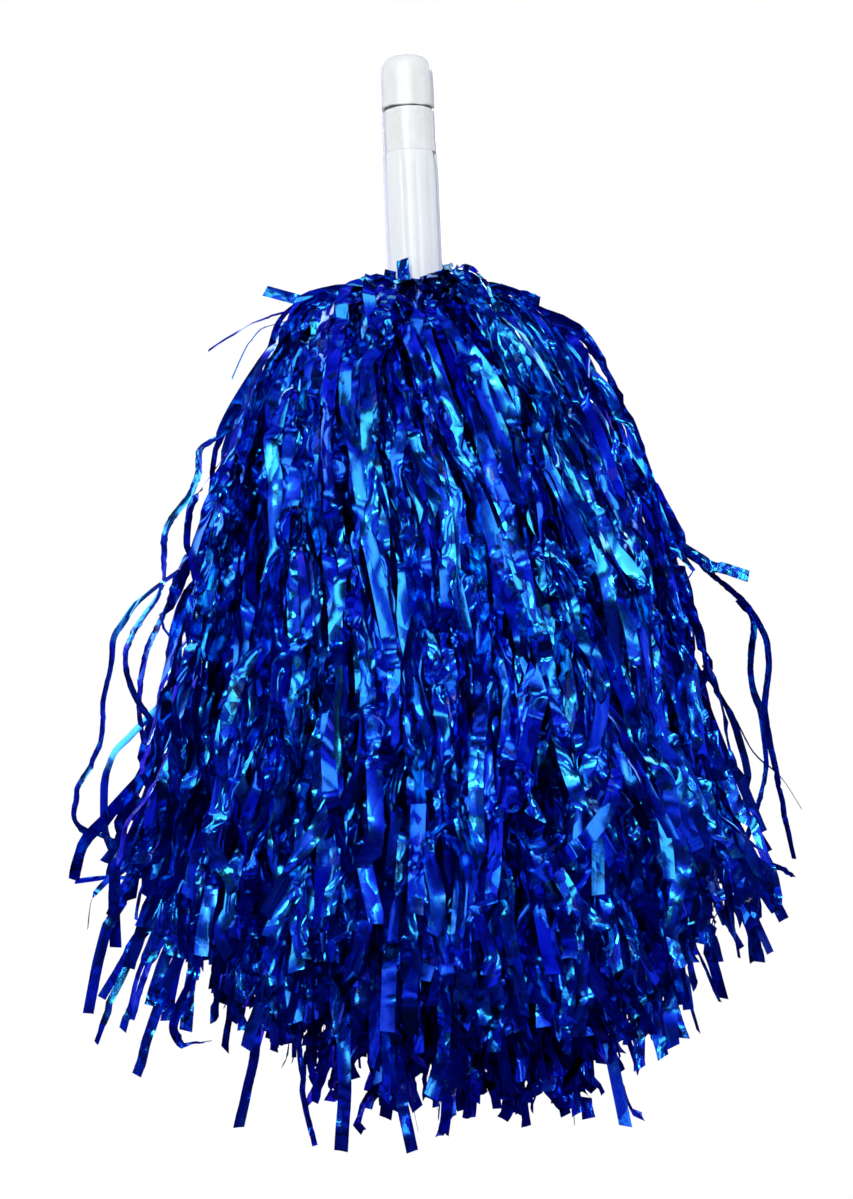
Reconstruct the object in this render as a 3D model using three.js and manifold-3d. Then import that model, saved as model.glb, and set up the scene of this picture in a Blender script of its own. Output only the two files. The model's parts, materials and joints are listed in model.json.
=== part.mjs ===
// A stick-handled cheer pom pom. A hollow plastic stick carries two pads of slit metallic film,
// whose uncut edges are wound round its lower end. Their strips fold over a tie wire and hang
// down as a bell of eight sectors, each with an outer and an inner tuft that swing out.
// Millimetres, +Z up. The origin is on the stick's axis, at the middle of its bare length.

import * as THREE from 'three';
import { mergeVertices } from 'three/addons/utils/BufferGeometryUtils.js';
import Module from 'manifold-3d';

// Driving dimensions of the stick
const GRIP_RADIUS = 10;
const BARE_LENGTH = 79.2;
const WALL = 1.2;
const FIT_GAP = 0.3;
const TUBE_RADIUS = GRIP_RADIUS - WALL - FIT_GAP;
const TUBE_BORE = 7;
const CAP_TOP = BARE_LENGTH / 2;
const CAP_BOTTOM = 21;
const CAP_ROOF = 32.5;
const CAP_FLAT_RADIUS = 6.2;
const CAP_SHOULDER = 5.4;
const COLLAR_TOP = 20;
const COLLAR_BOTTOM = 4.5;
const SLEEVE_BOTTOM = -50;
const FLUTES = 12;
const FLUTE_DEPTH = 0.35;
const FLUTE_STEPS = 6;
const TUBE_TOP = CAP_ROOF - FIT_GAP;
const TUBE_BOTTOM = -112;
const PLUG_FLANGE = 2;
const PLUG_SPIGOT = 8;

// Driving dimensions of the film
const NECK_Z = -43;
const WIDEST_Z = -256;
const BELL_RADIUS = 120;
const HEM_RADIUS = 112;
const HEM_Z = -300;
const BOTTOM_Z = -340;
const HEADER_TOP = SLEEVE_BOTTOM - FIT_GAP;
const INNER_HEADER_RADIUS = 11.5;
const INNER_HEADER_BOTTOM = -98;
const OUTER_HEADER_RADIUS = 14.4;
const OUTER_HEADER_BOTTOM = -92;
const TAPE_RADIUS = 15.1;
const TAPE_TOP = -60;
const TAPE_BOTTOM = -78;
const WIRE = { radius: 15.3, thickness: 1.4, z: -53.5 };
const FRILL = { bore: 10.7, topRadius: 12.4, radius: 15 };

// The tufts: eight sectors, each hinged where its strips leave the tie wire
const TUFTS = 8;
const SECTOR = (2 * Math.PI) / TUFTS;
const HINGE = { radius: 15, z: -52 };
const OUTER_SWING = THREE.MathUtils.degToRad(70);
const INNER_SWING = OUTER_SWING / 2;
const TUFT_GAP = 1.2;
const LAYER_GAP = 0.7;
const TUFT_FOOT = 16.8;
const OUTER_TUFT_TOP = -53;
const INNER_TUFT_TOP = -62;
const CREST = { radius: 45, z: -49 };
const OUTER_LAYER_SLOPE = 0.195;
const CORE_SLOPE = 0.05;
const CORE_TOP = -98.6;

// How far the cutting solids reach, and how finely round shapes are divided
const REACH = 420;
const CUT_RADIUS = BELL_RADIUS + 10;
const CUT_BOTTOM = BOTTOM_Z - 10;
const ROUND_SEGMENTS = 48;
const WIRE_SEGMENTS = 8;
const BELL_ROWS = 11;
const ARC_STEPS = 4;

const wasm = await Module();
wasm.setup();

const plastic = (color, roughness) => new THREE.MeshStandardMaterial({ color, roughness });
const film = (color) => new THREE.MeshStandardMaterial({ color, roughness: 0.2, metalness: 1 });

const pomPom = new THREE.Group();

function addPiece(name, geometry, material, parent = pomPom) {
  const mesh = new THREE.Mesh(geometry, material);
  mesh.name = name;
  parent.add(mesh);
}

// Turns a profile of (radius, z) points round the Z axis.
function turned(profile, segments = ROUND_SEGMENTS) {
  const points = profile.map(([radius, z]) => new THREE.Vector2(radius, z));
  return new THREE.LatheGeometry(points, segments).rotateX(Math.PI / 2);
}

function ring(bore, radius, bottom, top) {
  return turned([[bore, bottom], [radius, bottom], [radius, top], [bore, top], [bore, bottom]]);
}

// A ring that fits over a piece of the given radius.
function sleeveOver(covered, radius, bottom, top) {
  return ring(covered + FIT_GAP, radius, bottom, top);
}

function toSolid(geometry) {
  const bare = geometry.clone();
  bare.deleteAttribute('normal');
  bare.deleteAttribute('uv');
  const merged = mergeVertices(bare, 1e-3);
  return new wasm.Manifold(new wasm.Mesh({
    numProp: 3,
    vertProperties: new Float32Array(merged.attributes.position.array),
    triVerts: new Uint32Array(merged.index.array),
  }));
}

function toGeometry(solid) {
  const mesh = solid.getMesh();
  const geometry = new THREE.BufferGeometry();
  geometry.setAttribute('position', new THREE.BufferAttribute(mesh.vertProperties, 3));
  geometry.setIndex(new THREE.BufferAttribute(mesh.triVerts, 1));
  return geometry;
}

// ---- the stick ----

// A cup with a flat crown, a rounded shoulder and a skirt that sits over the tube.
function topCap() {
  const shoulder = new THREE.EllipseCurve(
    CAP_FLAT_RADIUS, CAP_TOP - CAP_SHOULDER, GRIP_RADIUS - CAP_FLAT_RADIUS, CAP_SHOULDER,
    0, Math.PI / 2,
  ).getPoints(2 * ARC_STEPS).map((p) => [p.x, p.y]);
  const bore = TUBE_RADIUS + FIT_GAP;
  return turned([
    [0, CAP_ROOF], [bore, CAP_ROOF], [bore, CAP_BOTTOM], [GRIP_RADIUS, CAP_BOTTOM],
    ...shoulder, [0, CAP_TOP],
  ]);
}

// A tube with soft lengthwise flutes on its outside.
function gripSleeve() {
  const outline = new THREE.Shape();
  const steps = FLUTES * FLUTE_STEPS;
  for (let i = 0; i < steps; i += 1) {
    const angle = (2 * Math.PI * i) / steps;
    const radius = GRIP_RADIUS - FLUTE_DEPTH * Math.sin((FLUTES * angle) / 2) ** 2;
    const place = [radius * Math.cos(angle), radius * Math.sin(angle)];
    if (i === 0) outline.moveTo(...place);
    else outline.lineTo(...place);
  }
  outline.closePath();
  outline.holes.push(new THREE.Path().absarc(0, 0, TUBE_RADIUS + FIT_GAP, 0, 2 * Math.PI, true));
  const top = COLLAR_BOTTOM - FIT_GAP;
  return new THREE.ExtrudeGeometry(outline, {
    depth: top - SLEEVE_BOTTOM, bevelEnabled: false, curveSegments: ROUND_SEGMENTS / 2,
  }).translate(0, 0, SLEEVE_BOTTOM);
}

// A disc under the tube with a spigot inside its bore.
function tubePlug() {
  const seat = TUBE_BOTTOM - FIT_GAP;
  const spigot = TUBE_BORE - FIT_GAP;
  return turned([
    [0, seat - PLUG_FLANGE], [TUBE_RADIUS, seat - PLUG_FLANGE], [TUBE_RADIUS, seat],
    [spigot, seat], [spigot, seat + PLUG_SPIGOT], [0, seat + PLUG_SPIGOT],
  ]);
}

// ---- the film ----

// The uncut edges of the two pads of film, wound one over the other.
function innerHeader() {
  return sleeveOver(TUBE_RADIUS, INNER_HEADER_RADIUS, INNER_HEADER_BOTTOM, HEADER_TOP);
}

function outerHeader() {
  return sleeveOver(INNER_HEADER_RADIUS, OUTER_HEADER_RADIUS, OUTER_HEADER_BOTTOM, HEADER_TOP);
}

// Over it the outer strips fold down.
function tieWire() {
  return new THREE.TorusGeometry(WIRE.radius, WIRE.thickness / 2, WIRE_SEGMENTS, ROUND_SEGMENTS)
    .translate(0, 0, WIRE.z);
}

// The bell's radius grows with the cube root of the depth below the neck.
function bellRadius(z) {
  return BELL_RADIUS * Math.cbrt((NECK_Z - z) / (NECK_Z - WIDEST_Z));
}

function hemZ(radius) {
  return BOTTOM_Z + (HEM_Z - BOTTOM_Z) * (radius / HEM_RADIUS);
}

// The whole bell as one solid, from which each tuft takes its outer face and its hem.
function bell() {
  const side = [];
  for (let i = 1; i < BELL_ROWS; i += 1) {
    const z = NECK_Z + (WIDEST_Z - NECK_Z) * (i / BELL_ROWS) ** 2;
    side.push([bellRadius(z), z]);
  }
  const hem = new THREE.QuadraticBezierCurve(
    new THREE.Vector2(BELL_RADIUS, WIDEST_Z),
    new THREE.Vector2(BELL_RADIUS, (WIDEST_Z + HEM_Z) / 2),
    new THREE.Vector2(HEM_RADIUS, HEM_Z),
  ).getPoints(ARC_STEPS).map((p) => [p.x, p.y]);
  return turned([[0, BOTTOM_Z], ...hem.reverse(), ...side.reverse(), [0, NECK_Z]]);
}

// A sector of the bell with its tip on the axis, less half the gap to each neighbour.
function sectorWedge() {
  const tip = TUFT_GAP / 2 / Math.sin(SECTOR / 2);
  const half = (REACH - tip) * Math.tan(SECTOR / 2);
  const outline = new THREE.Shape([
    new THREE.Vector2(tip, 0), new THREE.Vector2(REACH, -half), new THREE.Vector2(REACH, half),
  ]);
  return new THREE.ExtrudeGeometry(outline, { depth: 2 * REACH, bevelEnabled: false })
    .translate(0, 0, -REACH);
}

// The same sector, turned back by a tuft's full swing. What lies in both stays in its own
// sector all the way, because the hinge's axis is square to the sector's middle plane.
function swungWedge(swing) {
  return sectorWedge()
    .translate(-HINGE.radius, 0, -HINGE.z)
    .rotateY(swing)
    .translate(HINGE.radius, 0, HINGE.z);
}

// A slab across the sector with the given (x, z) outline.
function layerSlab(outline) {
  const shape = new THREE.Shape(outline.map(([x, z]) => new THREE.Vector2(x, z)));
  return new THREE.ExtrudeGeometry(shape, { depth: REACH, bevelEnabled: false })
    .rotateX(Math.PI / 2)
    .translate(0, REACH / 2, 0);
}

function slopeX(top, slope, z) {
  return TUFT_FOOT + slope * (top - z);
}

function tuft(outline, swing) {
  return toGeometry(
    toSolid(bell())
      .intersect(toSolid(layerSlab(outline)))
      .intersect(toSolid(sectorWedge()))
      .intersect(toSolid(swungWedge(swing))),
  );
}

function outerTuft() {
  return tuft([
    [TUFT_FOOT, OUTER_TUFT_TOP],
    [slopeX(OUTER_TUFT_TOP, OUTER_LAYER_SLOPE, CUT_BOTTOM), CUT_BOTTOM],
    [CUT_RADIUS, CUT_BOTTOM],
    [CUT_RADIUS, CREST.z],
    [CREST.radius, CREST.z],
  ], OUTER_SWING);
}

function innerTuft() {
  return tuft([
    [TUFT_FOOT, INNER_TUFT_TOP],
    [slopeX(INNER_TUFT_TOP, CORE_SLOPE, CUT_BOTTOM), CUT_BOTTOM],
    [slopeX(OUTER_TUFT_TOP, OUTER_LAYER_SLOPE, CUT_BOTTOM) - LAYER_GAP, CUT_BOTTOM],
    [slopeX(OUTER_TUFT_TOP, OUTER_LAYER_SLOPE, INNER_TUFT_TOP) - LAYER_GAP, INNER_TUFT_TOP],
  ], INNER_SWING);
}

// The straight-hanging middle, with a pocket round the tube's lower end.
function coreFringe() {
  const radiusAt = (z) => slopeX(INNER_TUFT_TOP, CORE_SLOPE, z) - LAYER_GAP;
  const foot = radiusAt(hemZ(radiusAt(BOTTOM_Z)));
  const pocket = TUBE_RADIUS + LAYER_GAP;
  const pocketFloor = TUBE_BOTTOM - PLUG_FLANGE - 2 * LAYER_GAP;
  return turned([
    [0, BOTTOM_Z], [foot, hemZ(foot)], [radiusAt(CORE_TOP), CORE_TOP],
    [pocket, CORE_TOP], [pocket, pocketFloor], [0, pocketFloor],
  ]);
}

// The trimmed film ends that stand in a ring round the sleeve, above the tie.
function neckFrill() {
  return turned([
    [FRILL.bore, SLEEVE_BOTTOM], [FRILL.radius, SLEEVE_BOTTOM], [FRILL.topRadius, NECK_Z],
    [FRILL.bore, NECK_Z], [FRILL.bore, SLEEVE_BOTTOM],
  ]);
}

// ---- assembly ----

const whitePlastic = plastic(0xf2f3f5, 0.3);
const innerPlastic = plastic(0xd9dadc, 0.5);
const blueFilm = film(0x0b2aa8);
const deepFilm = film(0x061a70);
const clearTape = plastic(0xc4d0e0, 0.25);
const steel = new THREE.MeshStandardMaterial({ color: 0xb8bcc2, roughness: 0.35, metalness: 1 });

addPiece('top_cap', topCap(), whitePlastic);
addPiece('handle_collar', sleeveOver(TUBE_RADIUS, GRIP_RADIUS, COLLAR_BOTTOM, COLLAR_TOP), whitePlastic);
addPiece('grip_sleeve', gripSleeve(), whitePlastic);
addPiece('handle_tube', ring(TUBE_BORE, TUBE_RADIUS, TUBE_BOTTOM, TUBE_TOP), innerPlastic);
addPiece('tube_plug', tubePlug(), innerPlastic);

addPiece('inner_header', innerHeader(), deepFilm);
addPiece('outer_header', outerHeader(), deepFilm);
addPiece('binding_tape', sleeveOver(OUTER_HEADER_RADIUS, TAPE_RADIUS, TAPE_BOTTOM, TAPE_TOP), clearTape);
addPiece('tie_wire', tieWire(), steel);
addPiece('neck_frill', neckFrill(), blueFilm);
addPiece('core_fringe', coreFringe(), deepFilm);

for (let i = 0; i < TUFTS; i += 1) {
  const sector = new THREE.Group();
  sector.rotation.z = i * SECTOR;
  addPiece(`outer_tuft_${i + 1}`, outerTuft(), blueFilm, sector);
  addPiece(`inner_tuft_${i + 1}`, innerTuft(), deepFilm, sector);
  pomPom.add(sector);
}

export default pomPom;
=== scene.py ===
"""The looks of a stick-handled cheer pom pom: a white plastic stick and a bell of slit blue film.

Lengths are in metres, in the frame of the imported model: the origin is on the stick's axis at the
middle of its bare length, and +Z points out through the cap.
"""

import json
import math

import bmesh
import bpy
import numpy as np
from mathutils import Matrix, Vector

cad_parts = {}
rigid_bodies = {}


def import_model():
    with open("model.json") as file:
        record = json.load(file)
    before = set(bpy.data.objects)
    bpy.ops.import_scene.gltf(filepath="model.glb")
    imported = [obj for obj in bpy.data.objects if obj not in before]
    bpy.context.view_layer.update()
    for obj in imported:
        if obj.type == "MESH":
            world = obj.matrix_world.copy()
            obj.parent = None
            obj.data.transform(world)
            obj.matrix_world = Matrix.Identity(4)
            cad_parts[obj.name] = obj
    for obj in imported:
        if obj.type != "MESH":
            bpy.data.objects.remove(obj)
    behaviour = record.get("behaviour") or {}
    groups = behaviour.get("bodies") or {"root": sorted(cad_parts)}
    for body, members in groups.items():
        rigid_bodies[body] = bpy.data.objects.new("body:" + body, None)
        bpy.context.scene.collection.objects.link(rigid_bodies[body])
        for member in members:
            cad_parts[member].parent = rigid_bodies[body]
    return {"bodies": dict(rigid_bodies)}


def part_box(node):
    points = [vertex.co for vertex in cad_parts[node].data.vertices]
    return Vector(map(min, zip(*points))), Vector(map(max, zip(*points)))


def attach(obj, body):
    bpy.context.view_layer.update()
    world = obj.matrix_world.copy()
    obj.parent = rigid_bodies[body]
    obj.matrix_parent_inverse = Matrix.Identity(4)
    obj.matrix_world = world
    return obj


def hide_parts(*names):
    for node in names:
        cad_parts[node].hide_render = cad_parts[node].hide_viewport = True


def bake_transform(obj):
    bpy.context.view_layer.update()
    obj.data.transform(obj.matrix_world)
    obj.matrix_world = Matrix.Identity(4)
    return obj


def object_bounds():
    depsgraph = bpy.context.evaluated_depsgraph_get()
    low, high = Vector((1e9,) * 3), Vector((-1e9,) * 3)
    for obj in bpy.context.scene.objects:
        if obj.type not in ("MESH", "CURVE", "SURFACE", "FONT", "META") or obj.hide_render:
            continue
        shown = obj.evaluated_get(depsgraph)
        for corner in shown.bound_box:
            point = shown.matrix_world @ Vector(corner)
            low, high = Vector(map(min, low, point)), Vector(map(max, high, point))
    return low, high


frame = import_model()
cad_low, cad_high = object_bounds()
MM = 0.001

# ---- places and sizes that the frame gives ----
frill_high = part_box("neck_frill")[1]
cap_low, cap_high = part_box("top_cap")
collar_low, collar_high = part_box("handle_collar")
sleeve_low, sleeve_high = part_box("grip_sleeve")
tube_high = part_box("handle_tube")[1]
tuft_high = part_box("outer_tuft_1")[1]
GRIP_RADIUS = cap_high.x
NECK_Z = frill_high.z
BELL_RADIUS = tuft_high.x
BOTTOM_Z = cad_low.z
TUFTS = sum(body.startswith("outer_tuft") for body in frame["bodies"])
SECTOR = 2 * math.pi / TUFTS

# ---- the film as it was cut ----
STRIP_WIDTH = 4.9 * MM
OUTER_STRIPS = 150  # in each tuft
INNER_STRIPS = 60  # in each tuft
CORE_STRIPS = 90
FRILL_ENDS = 90
SHORTEST_CUT = 238 * MM  # of the outermost strips
CUT_GROWTH = 80 * MM  # by which strips would be longer on the axis, if they grew evenly
CUT_ROUNDING = 30 * MM  # by which they fall short of that on the axis
CUT_SLANT = 6 * MM  # longer on the +X side by this, and shorter on the other
CUT_SCATTER = 8 * MM
LONGEST = 330 * MM  # that a strip gets at most
WIDTHS = (0.86, 1.04)  # as shares of the strips' width
FRILL_WIDTHS = (0.6, 1.0)  # as shares of the strips' width

# ---- the layers, as shares of the bell's radius ----
OUTER_LAYER = (0.6, 1.0)
INNER_LAYER = (0.28, 0.6)
CORE_LAYER = (0.14, 0.3)
WANDER_ROOM = 0.055  # left free for strips that stand out

# ---- how a strip hangs ----
STEP = 2.7 * MM  # between rows of vertices
FOLD_RADIUS = 13 * MM
FOLD_DROP = 7.5 * MM  # from the top of the frill down to the outermost strips' fold
LAYER_DROP = 9 * MM  # how much lower a strip on the axis would fold
FOLD_SCATTER = 1.4 * MM
FULL_DEPTH = 213 * MM  # below the fold, where the bell has its full radius
LINE_END = 1.2  # of the bell's line, on a scale that is 1 at the full depth
FLARE = 1.15  # above 1, the bell is slimmer at the neck
FLARE_BELOW = 0.2  # how fast it still widens below the full depth
HELD_LENGTH = 25 * MM  # from the fold, over which the tie wire keeps a strip in line
CREST = 24 * MM  # from the fold to the middle of the crumpled stretch
CREST_WIDTH = 22 * MM
SWIRL = 18 * MM  # how far strips run round the bell, all the same way
SWIRL_LENGTH = 180 * MM
TIP_LENGTHS = (20 * MM, 70 * MM)  # of the end that is bent off a strip's line
SLANT = 0.045  # the spread of a strip's drift sideways, as a share of its length
WILD_SLANT = 0.13  # the same for the wild ones
WILD_SHARE = 0.08  # of the strips
TIP_BENDS = (0.2, 0.16)  # the spread of its slope sideways and outward
TWIST = 34  # the spread of a face's turns, in degrees
TWIST_SPACING = 50 * MM  # of its slow changes
CREASE_SPACING = 17 * MM  # of its sudden ones
CREASE_HALF = 1.2 * MM  # half the length of such a change
TWISTED_SHARE = 0.12  # of the strips, which turn three times as far on their way down
# Kinks as (spacing, size): broad and fine ones where a strip is loose, and sharp ones on the crest.
SIDEWAYS_KINKS = ((60 * MM, 3 * MM), (20 * MM, 1.2 * MM), (11 * MM, 2.6 * MM))
OUTWARD_KINKS = ((45 * MM, 2.4 * MM), (15 * MM, 1.5 * MM), (11 * MM, 1.9 * MM))

# ---- how strips keep together ----
CLUMPS = 13  # in each tuft, whose strips wander alike
CLUMP_KINKS = 55 * MM  # apart, on the clump's line
CLUMP_SIDEWAYS = 3.5 * MM
CLUMP_OUTWARD = 2.6 * MM
CLUMP_PULL = 0.6  # the largest share of the way to its clump's middle that a strip is drawn
LOCKS = 5  # in each tuft, which draw together at the hem
LOCK_SCATTER = 5 * MM
GATHER = 0.6  # the share of the way to its lock's middle that a strip has come at the hem
GATHER_START = 150 * MM  # along the strip
GATHER_LENGTH = 100 * MM

# ---- how the bell is kept in shape ----
LEAN = 1.5 * MM  # towards -X, most at LEAN_Z and fading over LEAN_HEIGHT
LEAN_Z = -240 * MM
LEAN_HEIGHT = 60 * MM
REACH = 123 * MM  # from the axis, past which strips are drawn in
SPARE = 11 * MM  # how far past that they get at most
ROUNDING = 6  # times that the bends of a stray's line are smoothed

# ---- how the film is crumpled ----
PATCH_PLACES = np.arange(0, 400 * MM, 18 * MM)  # along a strip, where the amount is drawn
PATCH_POWER = 2.6  # above 1, few patches are much crumpled
STRIP_AMOUNTS = (0.3, 1.6)  # by which a whole strip is more or less crumpled
BUMP = 0.3 * MM  # out of the face, where the film is fully crumpled
BOW = 0.12 * MM  # of the middle line against the edges
PATTERN_SHIFT = 0.371  # along the film's pattern, from strip to strip

# ---- seeds of the random draws ----
OUTER_SEED = 100
INNER_SEED = 200
CORE_SEED = 5
FRILL_SEED = 31

# What the handle's own lights shine on.
HANDLE_ONLY = bpy.data.collections.new("handle_only")

# Loose strips that stand clear of the bell: tuft, width in mm, turn of the face in degrees, points in mm.
STRAYS = [
    (5, 4.0, 40, [(-17, -5, -50), (-30, -7, -50), (-42, -8, -48), (-55, -8, -44)]),
    (5, 1.7, 30, [(-25, -3, -53), (-41, -5, -51), (-60, -6, -55), (-76, -6, -65)]),
    (5, 1.3, 20, [(-40, -4, -54), (-58, -5, -58), (-63, -5, -66), (-68, -4, -76)]),
    (1, 4.8, 65, [(15, -8, -46), (28, -10, -47), (37, -11, -50), (45, -11, -54)]),
    (1, 1.7, 40, [(38, -5, -54), (46, -5, -58), (54, -6, -65), (63, -6, -73)]),
    (5, 4.2, 42, [(-56, 0, -84), (-76, 0, -97), (-82, 0, -100), (-82, 0, -107), (-86, 0, -117),
                  (-95, 0, -126), (-98, 0, -132), (-97, 0, -146), (-100, 0, -155), (-108, 0, -164),
                  (-113, 0, -173), (-113, 0, -182), (-109, 0, -191), (-101, 0, -204)]),
    (5, 3.6, 36, [(-62, 2, -88), (-87, 3, -120), (-89, 3, -137), (-80, 3, -150)]),
    (5, 4.2, 42, [(-74, 5, -124), (-92, 5, -143), (-96, 5, -155), (-100, 4, -164), (-105, 4, -174),
                  (-109, 2, -192), (-107, 2, -210)]),
    (5, 3.4, 34, [(-80, 2, -136), (-108, 1, -156), (-117, 1, -168), (-118, 0, -180), (-122, 0, -192),
                  (-123, -1, -207), (-130, -2, -220), (-135, -3, -232), (-134, -3, -236), (-125, -3, -241),
                  (-106, -2, -250)]),
    (5, 4.4, 32, [(-90, 3, -184), (-119, 3, -210), (-123, 2, -220), (-124, 0, -239), (-121, 0, -248),
                  (-112, 0, -258)]),
    (5, 2.2, 45, [(-100, 0, -256), (-115, 0, -257), (-123, 0, -256), (-135, 0, -257)]),
    (5, 2.4, 50, [(-104, -4, -246), (-122, -4, -256), (-129, -4, -264), (-131, -4, -276)]),
    (5, 4.6, 75, [(-106, -8, -236), (-118, -8, -250), (-119, -8, -266), (-119, -8, -281)]),
    (5, 4.8, 60, [(-104, -10, -246), (-117, -10, -262), (-122, -10, -272), (-126, -10, -286),
                  (-130, -10, -304)]),
    (5, 4.6, 40, [(-98, -5, -262), (-112, -5, -278), (-118, -5, -287), (-126, -5, -300)]),
    (5, 3.0, 35, [(-100, -12, -258), (-112, -12, -280), (-119, -12, -295), (-127, -12, -314)]),
    (5, 3.2, 50, [(-98, -16, -262), (-106, -16, -280), (-111, -16, -290), (-117, -16, -309)]),
    (5, 4.0, 55, [(-84, -20, -262), (-94, -20, -281), (-98, -20, -290), (-107, -20, -311),
                  (-113, -20, -325)]),
    (5, 4.4, 50, [(-90, -14, -252), (-106, -14, -284), (-114, -14, -305)]),
    (5, 4.4, 60, [(-86, -22, -254), (-101, -22, -285), (-106, -22, -300)]),
    (5, 4.6, 50, [(-84, -26, -258), (-95, -26, -286), (-99, -26, -304)]),
    (5, 4.4, 45, [(-96, -4, -250), (-110, -4, -276), (-117, -4, -289)]),
    (5, 4.6, 60, [(-80, -30, -262), (-90, -30, -290), (-92, -30, -307)]),
    (6, 4.0, 35, [(-84, -40, -272), (-88, -40, -288), (-93, -40, -296), (-96, -40, -304), (-92, -40, -309),
                  (-82, -40, -308)]),
    (1, 4.2, 60, [(80, -2, -122), (88, -3, -138), (93, -3, -144), (104, -3, -152), (117, -3, -157)]),
    (1, 2.6, 40, [(96, 1, -145), (108, 0, -157), (116, 0, -165), (120, 0, -171), (124, 0, -180),
                  (124, 0, -190), (121, 0, -204), (123, 0, -216), (125, 0, -235), (130, 0, -261)]),
    (1, 3.4, 30, [(114, 3, -163), (119, 3, -171), (118, 3, -183), (118, 3, -197), (121, 3, -206),
                  (122, 3, -226), (118, 2, -240), (112, 0, -254), (104, 0, -264)]),
    (1, 1.1, 30, [(96, 2, -186), (108, 2, -203), (118, 2, -222), (127, 2, -230), (134, 2, -243)]),
    (1, 2.8, 55, [(100, -4, -188), (109, -4, -208), (115, -4, -230), (112, -4, -243), (104, -3, -254)]),
    (1, 2.2, 40, [(98, 0, -252), (112, 0, -257), (123, 0, -261), (130, 0, -267)]),
    (1, 4.2, 70, [(98, -6, -240), (109, -6, -252), (115, -6, -262), (124, -6, -282)]),
    (1, 4.6, 60, [(98, -9, -244), (107, -9, -256), (112, -9, -278), (114, -9, -297)]),
    (1, 3.6, 45, [(86, -14, -248), (95, -14, -263), (100, -14, -276), (107, -14, -289)]),
    (8, 3.4, 40, [(74, -50, -262), (83, -52, -277), (87, -53, -286), (93, -54, -300)]),
    (8, 4.8, 30, [(66, -60, -256), (74, -62, -273), (77, -63, -282), (83, -64, -306)]),
    (8, 3.0, 30, [(62, -58, -266), (68, -60, -282), (70, -61, -292), (72, -61, -308)]),
    (6, 3.6, 50, [(-56, -56, -272), (-62, -58, -287), (-64, -59, -297), (-66, -59, -313), (-71, -60, -332)]),
    (6, 2.0, 30, [(-50, -62, -296), (-50, -63, -308), (-49, -63, -318), (-47, -62, -330), (-45, -62, -339)]),
    (6, 4.6, 20, [(-34, -66, -290), (-35, -69, -306), (-35, -70, -320), (-37, -70, -339)]),
    (7, 4.0, 20, [(-18, -68, -300), (-17, -70, -316), (-16, -71, -327), (-14, -71, -339)]),
    (7, 4.9, 5, [(56, -98, -216), (52, -108, -226), (44, -117, -234), (29, -121, -244)]),
    (7, 4.9, 0, [(-6, -106, -222), (-7, -111, -236), (-8, -117, -254)]),
    (7, 4.9, 0, [(-16, -88, -258), (-17, -104, -275), (-18, -112, -291)]),
]

# Trimmed ends that stand up before the sleeve: turn of the face in degrees, and points in mm.
UPRIGHT_ENDS = [
    (8, [(-3.5, -13, -50), (-4, -13.2, -45), (-4.5, -13.4, -41), (-4, -13.6, -37)]),
    (-25, [(-8, -12, -50), (-9.5, -12, -46), (-10, -12.3, -43), (-9, -13, -40.5)]),
    (20, [(8, -12, -50), (7, -12.4, -46), (7.5, -12.6, -42.5), (9.5, -12.8, -40.5)]),
    (60, [(-15, -5, -50), (-16.5, -5, -46), (-17, -6, -42), (-16, -6, -40)]),
]


# ---- strips of film ----


def meridian(level, top):
    """The line that a strip hangs along, as (radius, z, arc length).

    level is its share of the bell's radius. The radius grows nearly with the cube root of the depth, and
    slowly below the full depth."""
    t = np.linspace(0, LINE_END, 260)
    spread = np.minimum(t, 1) ** FLARE + FLARE_BELOW * np.maximum(t - 1, 0)
    radius = FOLD_RADIUS + (level * BELL_RADIUS - FOLD_RADIUS) * spread
    z = top - FULL_DEPTH * t**3
    arc = np.concatenate([[0], np.cumsum(np.hypot(np.diff(radius), np.diff(z)))])
    return radius, z, arc


def unit(v):
    """Vectors brought to length 1."""
    return v / np.maximum(np.linalg.norm(v, axis=-1, keepdims=True), 1e-12)


def kinked(rng, arc, spacing, size):
    """Offsets that run straight between kinks, which lie about spacing apart."""
    count = max(int(arc[-1] / spacing), 2)
    places = np.sort(rng.uniform(0, arc[-1], count))
    return np.interp(arc, places, rng.normal(0, size, count))


def smooth(t):
    """Rises from 0 to 1 as t does, level at both ends."""
    t = np.clip(t, 0, 1)
    return t * t * (3 - 2 * t)


def faceted(rng, arc, spacing, size):
    """Turns that hold still between narrow creases, which lie about spacing apart."""
    count = max(int(arc[-1] / spacing), 2)
    places = np.sort(rng.uniform(0, arc[-1], count))
    values = rng.normal(0, size, count + 1)
    knots = np.stack([places - CREASE_HALF, places + CREASE_HALF], 1).ravel()
    held = np.stack([values[:-1], values[1:]], 1).ravel()
    order = np.argsort(knots, kind="stable")
    return np.interp(arc, knots[order], held)


def wander(rng, along, loose, crest, kinks):
    """Offsets from a strip's line, from broad and fine kinks and those of the crest."""
    broad, fine, sharp = kinks
    return (
        kinked(rng, along, *broad) * loose
        + kinked(rng, along, *fine) * loose
        + kinked(rng, along, *sharp) * crest
    )


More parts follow.
